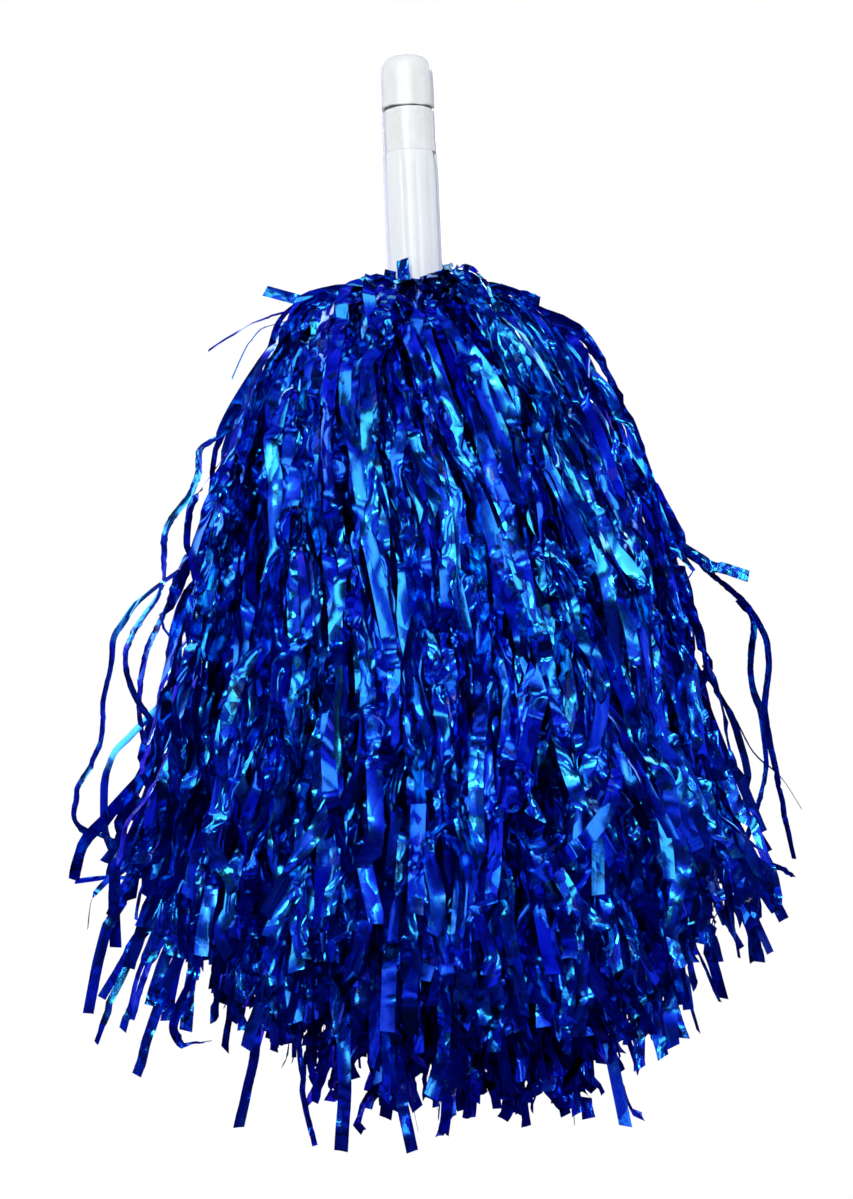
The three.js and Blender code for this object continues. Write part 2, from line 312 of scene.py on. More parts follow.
def strip(rng, angle, level, length, shared=None):
    """One hanging strip, as centre points, directions across it, and its face's direction.

    shared is the wander of the clump that the strip hangs in, as (arc, sideways, outward)."""
    top = NECK_Z - (1 - level) * LAYER_DROP - FOLD_DROP + rng.normal(0, FOLD_SCATTER)
    radius, z, arc = meridian(level - WANDER_ROOM, top)
    along = np.linspace(0, length, int(length / STEP))
    radius, z = np.interp(along, arc, radius), np.interp(along, arc, z)
    share = along / length
    ease = np.minimum(along / HELD_LENGTH, 1)
    crest = np.exp(-(((along - CREST) / CREST_WIDTH) ** 2))
    loose = ease * (0.6 + 1.3 * share**2)
    tip = np.maximum(along - length + rng.uniform(*TIP_LENGTHS), 0)
    slant = WILD_SLANT if rng.random() < WILD_SHARE else SLANT
    sideways = (
        SWIRL * (smooth(along / SWIRL_LENGTH) - 0.5) * ease
        + rng.normal(0, slant) * along * share
        + wander(rng, along, loose, crest, SIDEWAYS_KINKS)
        + rng.normal(0, TIP_BENDS[0]) * tip
    )
    outward = wander(rng, along, loose, crest, OUTWARD_KINKS) + rng.normal(0, TIP_BENDS[1]) * tip
    if shared is not None:
        sideways += np.interp(along, shared[0], shared[1]) * ease
        outward += np.interp(along, shared[0], shared[2]) * ease
    radial = np.array([math.cos(angle), math.sin(angle), 0])
    tangential = np.array([-math.sin(angle), math.cos(angle), 0])
    slope = unit(np.stack([np.gradient(radius), np.gradient(z)], 1))
    radius, z = radius - slope[:, 1] * outward, z + slope[:, 0] * outward
    centre = radius[:, None] * radial + sideways[:, None] * tangential + z[:, None] * [0, 0, 1]
    turn = rng.normal(0, 0.25) * share * math.pi * (3 if rng.random() < TWISTED_SHARE else 1)
    turn = turn + np.radians(
        rng.normal(0, TWIST * 0.7)
        + kinked(rng, along, TWIST_SPACING, TWIST * 0.5)
        + faceted(rng, along, CREASE_SPACING, TWIST)
    )
    return framed(kept_in(leaned(centre)), radial, turn)


def leaned(centre):
    """Shifts the bell's widest part a little to one side."""
    centre = centre.copy()
    centre[:, 0] -= LEAN * np.exp(-(((centre[:, 2] - LEAN_Z) / LEAN_HEIGHT) ** 2))
    return centre


def kept_in(centre):
    """Draws in, softly, what would reach more than SPARE past REACH from the axis, or past the hem."""
    reach = np.hypot(centre[:, 0], centre[:, 1])
    over = np.maximum(reach - REACH, 0)
    kept = np.where(over > 0, REACH + SPARE * np.tanh(over / SPARE), reach)
    centre[:, :2] *= (kept / np.maximum(reach, MM))[:, None]
    under = np.maximum(BOTTOM_Z - centre[:, 2], 0)
    centre[:, 2] += under - SPARE * np.tanh(under / SPARE)
    return centre


def line_through(points):
    """Straight runs between a few points in mm, as evenly spaced points with the bends a little rounded."""
    corners = np.array(points, float) * MM
    arc = np.concatenate([[0], np.cumsum(np.linalg.norm(np.diff(corners, axis=0), axis=1))])
    along = np.linspace(0, arc[-1], max(int(arc[-1] / (STEP / 2)), 8))
    line = np.stack([np.interp(along, arc, corners[:, k]) for k in range(3)], 1)
    for _ in range(ROUNDING):
        line[1:-1] = (line[:-2] + 2 * line[1:-1] + line[2:]) / 4
    return line, along


def stray(rng, points, turn):
    """A strip that stands clear of the bell, along a line through the given points."""
    centre, along = line_through(points)
    centre = centre + np.stack([kinked(rng, along, 13 * MM, 0.5 * MM) for _ in range(3)], 1)
    out = unit(centre[len(centre) // 2] * [1, 1, 0]) + [0, 0, 0.5]
    lean = faceted(rng, along, 22 * MM, 14) + rng.normal(0, 5) * along / along[-1]
    return framed(centre, out, np.radians(turn + lean))


def framed(centre, outward, turn):
    """A centre line with the directions across the strip and out of its face.

    The face looks outward, and is then turned about the line by turn, in radians."""
    tangent = unit(np.gradient(centre, axis=0))
    face = unit(outward - (tangent @ outward)[:, None] * tangent)
    across = np.cross(tangent, face)
    c, s = np.cos(turn)[:, None], np.sin(turn)[:, None]
    return centre, c * across + s * face, c * face - s * across


def crumpled(rng, centre, across, face, width):
    """A strip's surface, as rows of three vertices, arc lengths, and how crumpled it is at each row."""
    n = len(centre)
    along = np.concatenate([[0], np.cumsum(np.linalg.norm(np.diff(centre, axis=0), axis=1))])
    patches = np.interp(along, PATCH_PLACES, rng.random(len(PATCH_PLACES)) ** PATCH_POWER)
    crumple = np.clip(patches * rng.uniform(*STRIP_AMOUNTS), 0, 1)
    bumps = rng.normal(0, 1, (n, 3)) * BUMP * crumple[:, None]
    bumps[:, 1] += rng.normal(0, BOW) + 0.1 * MM * np.sin(np.arange(n) * rng.uniform(0.05, 0.25))
    lag = rng.integers(-2, 3)
    edges = [across[np.clip(np.arange(n) + lag * side, 0, n - 1)] * side for side in (-1, 0, 1)]
    rows = centre[:, None] + np.stack(edges, 1) * width / 2
    rows = rows + face[:, None] * bumps[:, :, None]
    rows[-1] += (centre[-1] - centre[-2]) * rng.uniform(-0.4, 0.4) * np.array([-1, 0, 1])[:, None]
    return rows, along, crumple


def strips_mesh(name, rng, strips, widths=None):
    """One open mesh of many strips, each three vertices across, with a crumpled surface.

    In the map Strip each strip lies at its true size, and in OFBake each has a column of its own."""
    verts, faces, strip_uv, bake_uv, tone, crinkle = [], [], [], [], [], []
    start = 0
    for i, (centre, across, face) in enumerate(strips):
        n = len(centre)
        width = STRIP_WIDTH if widths is None else widths[i]
        rows, along, crumple = crumpled(rng, centre, across, face, width)
        verts.append(rows.reshape(-1, 3))
        k = start + np.arange(n - 1)[:, None] * 3 + np.arange(2)
        faces.append(np.stack([k, k + 1, k + 4, k + 3], -1).reshape(-1, 4))
        u = np.repeat(along, 3) + i * PATTERN_SHIFT
        v = np.tile(np.array([-0.5, 0, 0.5]) * width, n)
        strip_uv.append(np.stack([u, v], 1))
        column = (i + 0.12 + 0.76 * np.tile([0, 0.5, 1], n)) / len(strips)
        bake_uv.append(np.stack([column, 0.005 + 0.99 * np.repeat(along / along[-1], 3)], 1))
        tone.append(np.full(n * 3, rng.random()))
        crinkle.append(np.repeat(crumple, 3))
        start += n * 3
    verts, faces = np.concatenate(verts), np.concatenate(faces)
    mesh = bpy.data.meshes.new(name)
    mesh.vertices.add(len(verts))
    mesh.vertices.foreach_set("co", verts.astype(np.float32).ravel())
    mesh.loops.add(faces.size)
    mesh.loops.foreach_set("vertex_index", faces.astype(np.int32).ravel())
    mesh.polygons.add(len(faces))
    mesh.polygons.foreach_set("loop_start", np.arange(0, faces.size, 4, dtype=np.int32))
    mesh.polygons.foreach_set("use_smooth", np.ones(len(faces), dtype=bool))
    mesh.update(calc_edges=True)
    for layer, values in (("Strip", strip_uv), ("OFBake", bake_uv)):
        values = np.concatenate(values)[faces.ravel()].astype(np.float32)
        mesh.uv_layers.new(name=layer).data.foreach_set("uv", values.ravel())
    mesh.uv_layers.active = mesh.uv_layers["Strip"]
    for layer, values in (("tone", tone), ("crinkle", crinkle)):
        values = np.concatenate(values).astype(np.float32)
        mesh.attributes.new(layer, "FLOAT", "POINT").data.foreach_set("value", values)
    piece = bpy.data.objects.new(name, mesh)
    bpy.context.scene.collection.objects.link(piece)
    return piece


def levels(rng, low, high, count):
    """Shares of the bell's radius, spread evenly over the ring between low and high."""
    return np.sqrt(rng.uniform(low**2, high**2, count))


def cut_length(rng, level, angle):
    """The length along the bell's line. The outermost strips are shortest, and one side is longer."""
    inside = 1 - level
    longer = CUT_GROWTH * inside - CUT_ROUNDING * inside**2
    return SHORTEST_CUT + longer + CUT_SLANT * math.cos(angle) + rng.normal(0, CUT_SCATTER)


def clump_wander(rng):
    """The sideways and outward wander that the strips of one clump share, as (arc, sideways, outward)."""
    arc = np.linspace(0, LONGEST, 120)
    sideways = kinked(rng, arc, CLUMP_KINKS, CLUMP_SIDEWAYS)
    outward = kinked(rng, arc, CLUMP_KINKS, CLUMP_OUTWARD)
    return arc, sideways, outward


def tuft_strip(rng, angle, middle, level, clumps, lock_lengths):
    """One strip of the tuft whose middle is given, drawn to its clump and, lower down, to its lock."""
    share = (angle - middle) / SECTOR + 0.5
    clump, lock = int(share * CLUMPS), int(share * LOCKS)
    arc, sideways, outward = clumps[clump]
    to_lock = level * BELL_RADIUS * SECTOR * ((lock + 0.5) / LOCKS - share)
    gather = GATHER * to_lock * smooth((arc - GATHER_START) / GATHER_LENGTH)
    to_clump = SECTOR * ((clump + 0.5) / CLUMPS - share)
    length = cut_length(rng, level, angle) + lock_lengths[lock]
    angle = angle + to_clump * rng.uniform(0, CLUMP_PULL)
    return strip(rng, angle, level, length, (arc, sideways + gather, outward))


def tuft(number, layer, limits, count, material, seed):
    """The strips of one sector and layer of the bell."""
    rng = np.random.default_rng(seed)
    middle = SECTOR * (number - 1)
    angles = middle + SECTOR * (np.arange(count) + rng.uniform(0, 1, count)) / count - SECTOR / 2
    clumps = [clump_wander(rng) for _ in range(CLUMPS)]
    lock_lengths = rng.normal(0, LOCK_SCATTER, LOCKS)
    made = [
        tuft_strip(rng, angle, middle, level, clumps, lock_lengths)
        for angle, level in zip(angles, levels(rng, *limits, count))
    ]
    widths = list(STRIP_WIDTH * rng.uniform(*WIDTHS, count))
    if layer == "outer":
        for tuft_number, width, turn, points in STRAYS:
            if tuft_number == number:
                made.append(stray(rng, points, turn))
                widths.append(width * MM)
    body = f"{layer}_tuft_{number}"
    piece = strips_mesh(f"{layer}_strips_{number}", rng, made, widths)
    piece.data.materials.append(material)
    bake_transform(piece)
    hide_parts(body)
    return piece


def core(material):
    """The strips that hang straight down round the tube's lower end."""
    rng = np.random.default_rng(CORE_SEED)
    made = []
    for level in levels(rng, *CORE_LAYER, CORE_STRIPS):
        angle = rng.uniform(0, 2 * math.pi)
        made.append(strip(rng, angle, level, cut_length(rng, level, angle)))
    piece = strips_mesh("core_strips", rng, made)
    piece.data.materials.append(material)
    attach(piece, "handle")
    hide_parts("core_fringe")
    return piece


def frill_strip(rng, angle, length, rise):
    """A short end that comes up beside the sleeve and falls outward.

    rise is its first slope in degrees."""
    along = np.linspace(0, length, max(int(length / (1.6 * MM)), 5))
    share = along / length
    slope = np.radians(rise - rng.uniform(90, 170) * share + kinked(rng, along, 7 * MM, 14))
    step = np.gradient(along)
    radius = rng.uniform(10.9, 14.6) * MM + np.cumsum(np.cos(slope) * step)
    z = NECK_Z - rng.uniform(4, 9) * MM + np.cumsum(np.sin(slope) * step)
    swing = angle + rng.normal(0, 0.3) * share
    centre = np.stack([radius * np.cos(swing), radius * np.sin(swing), z], 1)
    out = np.array([math.cos(angle), math.sin(angle), 0.3])
    turn = np.radians(rng.normal(0, 30) + kinked(rng, along, 9 * MM, 35))
    return framed(centre, out, turn)


def frill(material):
    """Trimmed ends round the sleeve, over the tie wire."""
    rng = np.random.default_rng(FRILL_SEED)
    made = [stray(rng, points, turn) for turn, points in UPRIGHT_ENDS]
    for i in range(FRILL_ENDS):
        angle = 2 * math.pi * (i + rng.uniform(0, 1)) / FRILL_ENDS
        made.append(frill_strip(rng, angle, rng.uniform(8, 20) * MM, rng.uniform(35, 85)))
    widths = STRIP_WIDTH * rng.uniform(*FRILL_WIDTHS, len(made))
    widths[: len(UPRIGHT_ENDS)] = STRIP_WIDTH
    piece = strips_mesh("neck_frill_strips", rng, made, widths)
    piece.data.materials.append(material)
    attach(piece, "handle")
    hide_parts("neck_frill")
    return piece


# ---- the uncut film, tape and wire inside ----


def wound(name, node, inside, turns, material):
    """The uncut edge of a film pad, wound as one sheet of several turns round the node inside it."""
    rng = np.random.default_rng(turns)
    low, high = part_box(node)
    inner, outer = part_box(inside)[1].x, high.x
    rows, per_turn = 9, 40
    count = turns * per_turn + 1
    angle = np.linspace(0, 2 * math.pi * turns, count)
    radius = inner + 0.45 * MM + (outer - inner - 0.7 * MM) * angle / angle[-1]
    height = np.linspace(low.z + 0.2 * MM, high.z - 0.2 * MM, rows)
    ripple = rng.normal(0, 0.05 * MM, (count, rows))
    r = radius[:, None] + ripple
    edge = rng.normal(0, 0.25 * MM, (count, 1)) * np.linspace(1, 0, rows)
    z = height[None, :] + edge
    verts = np.stack([r * np.cos(angle)[:, None], r * np.sin(angle)[:, None], z], -1).reshape(-1, 3)
    k = (np.arange(count - 1)[:, None] * rows + np.arange(rows - 1)).reshape(-1)
    faces = np.stack([k, k + rows, k + rows + 1, k + 1], -1)
    arc = np.concatenate([[0], np.cumsum(radius[1:] * np.diff(angle))])
    uv = np.stack(np.broadcast_arrays(arc[:, None], height[None, :]), -1).reshape(-1, 2)
    piece = mesh_piece(name, verts, faces, material, uv)
    for layer, value in (("tone", 0.4), ("crinkle", 0.3)):
        values = np.full(len(verts), value, np.float32)
        piece.data.attributes.new(layer, "FLOAT", "POINT").data.foreach_set("value", values)
    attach(piece, "handle")
    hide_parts(node)
    return piece


def mesh_piece(name, verts, faces, material, uv=None):
    """An object from plain arrays, shaded smooth."""
    mesh = bpy.data.meshes.new(name)
    mesh.from_pydata(np.asarray(verts).tolist(), [], np.asarray(faces).tolist())
    mesh.polygons.foreach_set("use_smooth", np.ones(len(mesh.polygons), dtype=bool))
    if uv is not None:
        corner = np.zeros(len(mesh.loops), np.int32)
        mesh.loops.foreach_get("vertex_index", corner)
        mesh.uv_layers.new(name="Strip").data.foreach_set("uv", uv[corner].astype(np.float32).ravel())
    mesh.materials.append(material)
    piece = bpy.data.objects.new(name, mesh)
    bpy.context.scene.collection.objects.link(piece)
    return piece


def twisted_wire(material):
    """Two turns of wire round the headers, with its ends twisted into a tail along the film."""
    low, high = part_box("tie_wire")
    thick = (high.z - low.z) / 2
    ring, middle = high.x - thick, (high.z + low.z) / 2
    all_round = 4 * math.pi
    loops = [
        (ring * math.cos(a), ring * math.sin(a), middle + thick / 2 - thick * a / all_round)
        for a in np.linspace(0, all_round, 121)
    ]
    tails = [
        [
            (
                ring + thick * 0.3,
                0.5 * thick * math.cos(t * 3 + phase),
                middle - thick * (1 + t) + 0.5 * thick * math.sin(t * 3 + phase),
            )
            for t in np.linspace(0, 9, 60)
        ]
        for phase in (0, math.pi)
    ]
    data = bpy.data.curves.new("tie_wire_loops", "CURVE")
    data.dimensions = "3D"
    data.bevel_depth = thick / 2
    data.bevel_resolution = 3
    for line in [loops, *tails]:
        spline = data.splines.new("POLY")
        spline.points.add(len(line) - 1)
        for point, place in zip(spline.points, line):
            point.co = (*place, 1)
    wire = bpy.data.objects.new("tie_wire_loops", data)
    bpy.context.scene.collection.objects.link(wire)
    data.materials.append(material)
    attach(wire, "handle")
    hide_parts("tie_wire")
    return wire


# ---- the stick ----

BORE_RADIUS = tube_high.x + 0.3 * MM
SHELL_RADIUS = GRIP_RADIUS - 0.25 * MM
CAP_FLAT_RADIUS = 6.2 * MM
CAP_SHOULDER = 6.8 * MM  # the height of the rounded shoulder
CAP_ROOF = 6.5 * MM  # the thickness over the bore
SEAM_HEIGHT = 3 * MM  # of a rim, over which the seam's unevenness fades
RIM_ROUND = 0.4 * MM
SLEEVE_OVERLAP = 0.2 * MM
FLUTE_WAVES = 6
FLUTE_DEPTH = 0.3 * MM
NICK_AZIMUTH = math.radians(-22)
NICK_WIDTH = math.radians(6.5)  # half of the nick, and the length of its slope on each side
NICK_DEPTH = 2.3 * MM


def turned(name, node, outline, material, around=None, segments=192):
    """A lathed piece of the stick, from an outline of (radius, z) points.

    around(angle, radius, z) gives the radius and z there, for flutes and uneven rims. An outline that
    starts on the axis is closed by it, and any other closes on itself."""
    outline = np.array(outline)
    closed = outline[0, 0] > 0
    verts, faces = [], []
    rows = len(outline)
    for angle in np.linspace(0, 2 * math.pi, segments, endpoint=False):
        for radius, z in outline:
            if around:
                radius, z = around(angle, radius, z)
            verts.append((radius * math.cos(angle), radius * math.sin(angle), z))
    for i in range(segments):
        j = (i + 1) % segments
        for k in range(rows if closed else rows - 1):
            m = (k + 1) % rows
            faces.append((i * rows + k, j * rows + k, j * rows + m, i * rows + m))
    piece = mesh_piece(name, verts, faces, material)
    bm = bmesh.new()
    bm.from_mesh(piece.data)
    bmesh.ops.remove_doubles(bm, verts=bm.verts, dist=0.01 * MM)
    bmesh.ops.recalc_face_normals(bm, faces=bm.faces)
    bm.to_mesh(piece.data)
    bm.free()
    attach(piece, "handle")
    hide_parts(node)
    HANDLE_ONLY.objects.link(piece)
    return piece


def corner(centre_r, centre_z, size, start, end, tall=None, steps=6):
    """Points round a corner, from start to end degrees. tall is its height where it isn't round."""
    tall = size if tall is None else tall
    return [
        (centre_r + size * math.cos(math.radians(a)), centre_z + tall * math.sin(math.radians(a)))
        for a in np.linspace(start, end, steps)
    ]


def seam_gap(angle):
    """How far the seam under the cap opens beyond its even width, which changes round the stick."""
    sides = 0.5 * math.cos(2 * angle) - 0.25 * math.cos(angle)
    return (sides - 0.1 + 0.12 * math.sin(8 * angle) + 0.08 * math.sin(13 * angle)) * MM


def cap():
    """The moulded cap, with a flat top, rounded shoulders, faint facets and an uneven rim."""
    top, rim = cap_high.z, cap_low.z

    def shape(angle, radius, z):
        facets = 0.12 * MM * math.cos(9 * angle) * min((top - z) / (8 * MM), 1)
        taper = 0.006 * (z - rim)
        low = max(1 - (z - rim) / SEAM_HEIGHT, 0)
        outside = radius > BORE_RADIUS + 0.5 * MM
        return (radius - taper + facets if outside else radius), z + low * seam_gap(angle) * 0.6

    round_part = SHELL_RADIUS - CAP_FLAT_RADIUS
    shoulder = corner(CAP_FLAT_RADIUS, top - CAP_SHOULDER, round_part, 90, 0, CAP_SHOULDER, 14)
    outline = [
        (0, top - CAP_ROOF),
        (0, top),
        (5 * MM, top),
        *shoulder,
        *[(SHELL_RADIUS, z) for z in np.linspace(top - 8.5 * MM, rim + 1 * MM, 8)],
        *corner(SHELL_RADIUS - RIM_ROUND, rim + RIM_ROUND, RIM_ROUND, 0, -90),
        (BORE_RADIUS, rim),
        (BORE_RADIUS, top - CAP_ROOF),
    ]
    plastic = plastic_material("cap_plastic", (0.88, 0.9, 0.9), (0.74, 0.77, 0.77), 0.34, 0.5)
    turned("moulded_cap", "top_cap", outline, plastic, shape)


def collar():
    """The smooth collar, whose upper rim is the seam's other side."""
    low, high = collar_low.z, collar_high.z
    edge = 0.12 * MM

    def shape(angle, radius, z):
        near_rim = max(1 - (high - z) / SEAM_HEIGHT, 0)
        return radius, z - near_rim * seam_gap(angle) * 0.4

    outline = [
        *corner(SHELL_RADIUS - RIM_ROUND, high - RIM_ROUND, RIM_ROUND, 90, 0),
        *[(SHELL_RADIUS, z) for z in np.linspace(high - 0.8 * MM, low + 0.8 * MM, 10)],
        *corner(SHELL_RADIUS - edge, low + edge, edge, 0, -90),
        (BORE_RADIUS, low),
        (BORE_RADIUS, high),
    ]
    plastic = plastic_material("collar_plastic", (0.9, 0.92, 0.92), (0.8, 0.83, 0.83), 0.26, 0.25)
    turned("smooth_collar", "handle_collar", outline, plastic, shape)


def sleeve():
    """The fluted sleeve, with a small nick in its upper rim."""
    low, high = sleeve_low.z, sleeve_high.z + SLEEVE_OVERLAP

    def shape(angle, radius, z):
        if radius < BORE_RADIUS + 0.2 * MM:
            return radius, z
        wave = abs(math.cos(FLUTE_WAVES * angle + 0.4)) - 0.5
        flutes = FLUTE_DEPTH * wave * min((high - z) / (4 * MM), 1)
        off = abs((angle - NICK_AZIMUTH + math.pi) % (2 * math.pi) - math.pi)
        nick = min(max(2 - off / NICK_WIDTH, 0), 1) * max(1 - (high - z) / (6 * MM), 0)
        return radius + flutes - nick * 0.3 * MM, z - nick * NICK_DEPTH

    outline = [
        *corner(GRIP_RADIUS - 0.2 * MM, high - 0.2 * MM, 0.2 * MM, 90, 0),
        *[(GRIP_RADIUS, z) for z in np.linspace(high - 1.2 * MM, low + 0.8 * MM, 24)],
        *corner(GRIP_RADIUS - RIM_ROUND, low + RIM_ROUND, RIM_ROUND, 0, -90),
        (BORE_RADIUS, low),
        (BORE_RADIUS, high),
    ]
    plastic = plastic_material("sleeve_plastic", (0.88, 0.92, 0.94), (0.76, 0.81, 0.82), 0.22, 0.9)
    turned("fluted_sleeve", "grip_sleeve", outline, plastic, shape)


# ---- materials ----


class Nodes:
    """A short way to write the node tree of a material or of the world."""

    def __init__(self, owner):
        self.owner = owner
        owner.use_nodes = True
        self.tree = owner.node_tree
        self.shader = self.tree.nodes.get("Principled BSDF")

    def add(self, kind, inputs=None, **settings):
        """A new node, whose inputs are linked to sockets or set to values."""
        node = self.tree.nodes.new(kind)
        for key, value in settings.items():
            setattr(node, key, value)
        for key, value in (inputs or {}).items():
            if isinstance(value, bpy.types.NodeSocket):
                self.tree.links.new(value, node.inputs[key])
            else:
                node.inputs[key].default_value = value
        return node

    def maths(self, operation, a, b=0.0, c=0.0):
        return self.add("ShaderNodeMath", {0: a, 1: b, 2: c}, operation=operation).outputs[0]

    def vector_maths(self, operation, inputs):
        return self.add("ShaderNodeVectorMath", inputs, operation=operation).outputs[0]

    def ramp(self, factor, stops):
        """A colour ramp, whose stops are given as (place, colour)."""
        node = self.add("ShaderNodeValToRGB", {"Fac": factor})
        for _ in stops[2:]:
            node.color_ramp.elements.new(0.5)
        for element, (place, colour) in zip(node.color_ramp.elements, stops):
            element.position = place
            element.color = (*colour, 1)
        return node.outputs["Color"]

    def set(self, **values):
        """Sets or links the inputs of the main shader, and gives the material."""
        for key, value in values.items():
            socket = self.shader.inputs[key.replace("_", " ")]
            if isinstance(value, bpy.types.NodeSocket):
                self.tree.links.new(value, socket)
            else:
                socket.default_value = value
        return self.owner


def film_material(name, dark, bright):
    """Metallised film: a mirror with a blue tint, crumpled more on some strips than on others."""
    n = Nodes(bpy.data.materials.new(name))
    place = n.add("ShaderNodeUVMap", uv_map="Strip").outputs["UV"]
    tone = n.add("ShaderNodeAttribute", attribute_name="tone").outputs["Fac"]
    crinkle = n.add("ShaderNodeAttribute", attribute_name="crinkle").outputs["Fac"]
    fine = n.add("ShaderNodeTexNoise", {"Vector": place, "Scale": 420, "Detail": 2, "Roughness": 0.5})
    broad = n.add("ShaderNodeTexNoise", {"Vector": place, "Scale": 60, "Detail": 1})
    stretched = n.add("ShaderNodeMapping", {"Vector": place, "Scale": (0.55, 1, 1)}).outputs[0]
    cells = n.add("ShaderNodeTexVoronoi", {"Vector": stretched, "Scale": 300})
    leans = n.vector_maths("SUBTRACT", {0: cells.outputs["Color"], 1: (0.5, 0.5, 0.5)})
    amount = n.maths("MULTIPLY_ADD", n.maths("POWER", crinkle, 1.3), 0.7, 0.03)
    lean = n.vector_maths("SCALE", {0: leans, "Scale": amount})
    normal = n.add("ShaderNodeNewGeometry").outputs["Normal"]
    facets = n.vector_maths("NORMALIZE", {0: n.vector_maths("ADD", {0: normal, 1: lean})})
    bump = n.add("ShaderNodeBump", {
        "Height": fine.outputs["Fac"],
        "Strength": n.maths("MULTIPLY_ADD", crinkle, 0.3, 0.04),
        "Distance": 0.3 * MM,
        "Normal": facets,
    })
    shade = n.maths("MULTIPLY_ADD", broad.outputs["Fac"], 0.3, tone)
    colour = n.ramp(shade, [(0.1, dark), (1.0, bright)])
    roughness = n.maths("MULTIPLY_ADD", fine.outputs["Fac"], 0.12, 0.09)
    return n.set(
        Base_Color=colour, Metallic=1.0, Roughness=roughness, Normal=bump.outputs["Normal"],
        Coat_Weight=0.15, Coat_Roughness=0.08,
    )


def plastic_material(name, colour, shade, roughness, streak):
    """White moulded plastic with faint flow streaks along the stick and fine scuffs."""
    n = Nodes(bpy.data.materials.new(name))
    place = n.add("ShaderNodeTexCoord").outputs["Object"]
    stretched = n.add("ShaderNodeMapping", {"Vector": place, "Scale": (1, 1, 0.06)}).outputs[0]
    streaks = n.add("ShaderNodeTexNoise", {"Vector": stretched, "Scale": 260, "Detail": 2})
    scuffs = n.add("ShaderNodeTexNoise", {"Vector": place, "Scale": 900, "Detail": 4})
    mottle = n.add("ShaderNodeTexNoise", {"Vector": place, "Scale": 90, "Detail": 2})
    tint = n.maths("MULTIPLY_ADD", streaks.outputs["Fac"], streak, mottle.outputs["Fac"])
    base = n.ramp(tint, [(0.3, shade), (0.9, colour)])
    rough = n.maths("MULTIPLY_ADD", scuffs.outputs["Fac"], 0.16, roughness - 0.08)
    height = n.maths("MULTIPLY_ADD", streaks.outputs["Fac"], 0.6, scuffs.outputs["Fac"])
    bump = n.add("ShaderNodeBump", {"Height": height, "Strength": 0.25, "Distance": 0.06 * MM})
    return n.set(
        Base_Color=base, Roughness=rough, Normal=bump.outputs["Normal"],
        Coat_Weight=0.3, Coat_Roughness=0.1,
    )


def tape_material():
    """Clear tape over film: milky, with the edges of its turns and small trapped bubbles."""
    n = Nodes(bpy.data.materials.new("binding_tape"))
    place = n.add("ShaderNodeTexCoord").outputs["Object"]
    wave = {"Vector": place, "Scale": 90, "Distortion": 0.6}
    turns = n.add("ShaderNodeTexWave", wave, bands_direction="Z")
    bubbles = n.add("ShaderNodeTexVoronoi", {"Vector": place, "Scale": 700})
    milk = n.maths("MULTIPLY_ADD", bubbles.outputs["Distance"], 0.4, turns.outputs["Fac"])
    colour = n.ramp(milk, [(0.15, (0.3, 0.38, 0.56)), (1.0, (0.66, 0.72, 0.8))])
    bump = n.add("ShaderNodeBump", {"Height": milk, "Strength": 0.4, "Distance": 0.1 * MM})
    roughness = n.maths("MULTIPLY_ADD", bubbles.outputs["Distance"], 0.3, 0.14)
    return n.set(Base_Color=colour, Roughness=roughness, Normal=bump.outputs["Normal"], Coat_Weight=0.5)


def wire_material():
    """Drawn steel wire, with fine draw lines and a little dull oxide."""
    n = Nodes(bpy.data.materials.new("tie_wire"))
    place = n.add("ShaderNodeTexCoord").outputs["Object"]
    lines = n.add("ShaderNodeTexNoise", {"Vector": place, "Scale": 1800, "Detail": 3})
    oxide = n.add("ShaderNodeTexNoise", {"Vector": place, "Scale": 240, "Detail": 2})
    colour = n.ramp(oxide.outputs["Fac"], [(0.35, (0.3, 0.29, 0.28)), (0.6, (0.58, 0.58, 0.6))])
    roughness = n.maths("MULTIPLY_ADD", oxide.outputs["Fac"], 0.3, 0.15)
    height = lines.outputs["Fac"]
    bump = n.add("ShaderNodeBump", {"Height": height, "Strength": 0.3, "Distance": 0.03 * MM})
    return n.set(Base_Color=colour, Metallic=1.0, Roughness=roughness, Normal=bump.outputs["Normal"])


# ---- stage ----

FLOOR_SIZE = 8.0
FLOOR_GAP = 0.3
LIGHTS_AIM = Vector((0, 0, -0.16))
HANDLE_TINT = (0.99, 1, 0.965)

# What the film mirrors besides the lights, as colours from low to high values of a noise.
ROOM_COLOURS = [
    (0.4, (0.0, 0.0, 0.03)),
    (0.5, (0.03, 0.01, 0.42)),
    (0.6, (0.09, 0.05, 0.95)),
    (0.7, (0.6, 0.2, 1.2)),
]

# Lights as name, azimuth and elevation in degrees, distance, (width, height) and radiance.
FILM_LIGHTS = [
    ("key", -25, 34, 1.5, (0.34, 0.62), 2.2),
    ("near_left", -6, 33, 1.5, (0.2, 0.58), 2.4),
    ("right", 17, 34, 1.5, (0.24, 0.62), 2.0),
    ("far_left", -75, 30, 1.5, (0.25, 0.9), 2.0),
    ("side_left", -110, 30, 1.5, (0.25, 0.9), 2.2),
    ("side_right", 66, 30, 1.5, (0.25, 0.9), 2.0),
    ("top", 0, 75, 1.5, (0.4, 0.4), 1.2),
    ("low", -12, -5, 1.4, (0.07, 0.18), 8),
    ("low_right", 14, 0, 1.4, (0.07, 0.14), 8),
    ("back_left", -150, 30, 1.5, (0.3, 0.9), 2.4),
    ("back", 172, 30, 1.5, (0.25, 0.9), 2.4),
    ("back_right", 125, 30, 1.5, (0.3, 0.9), 2.4),
]
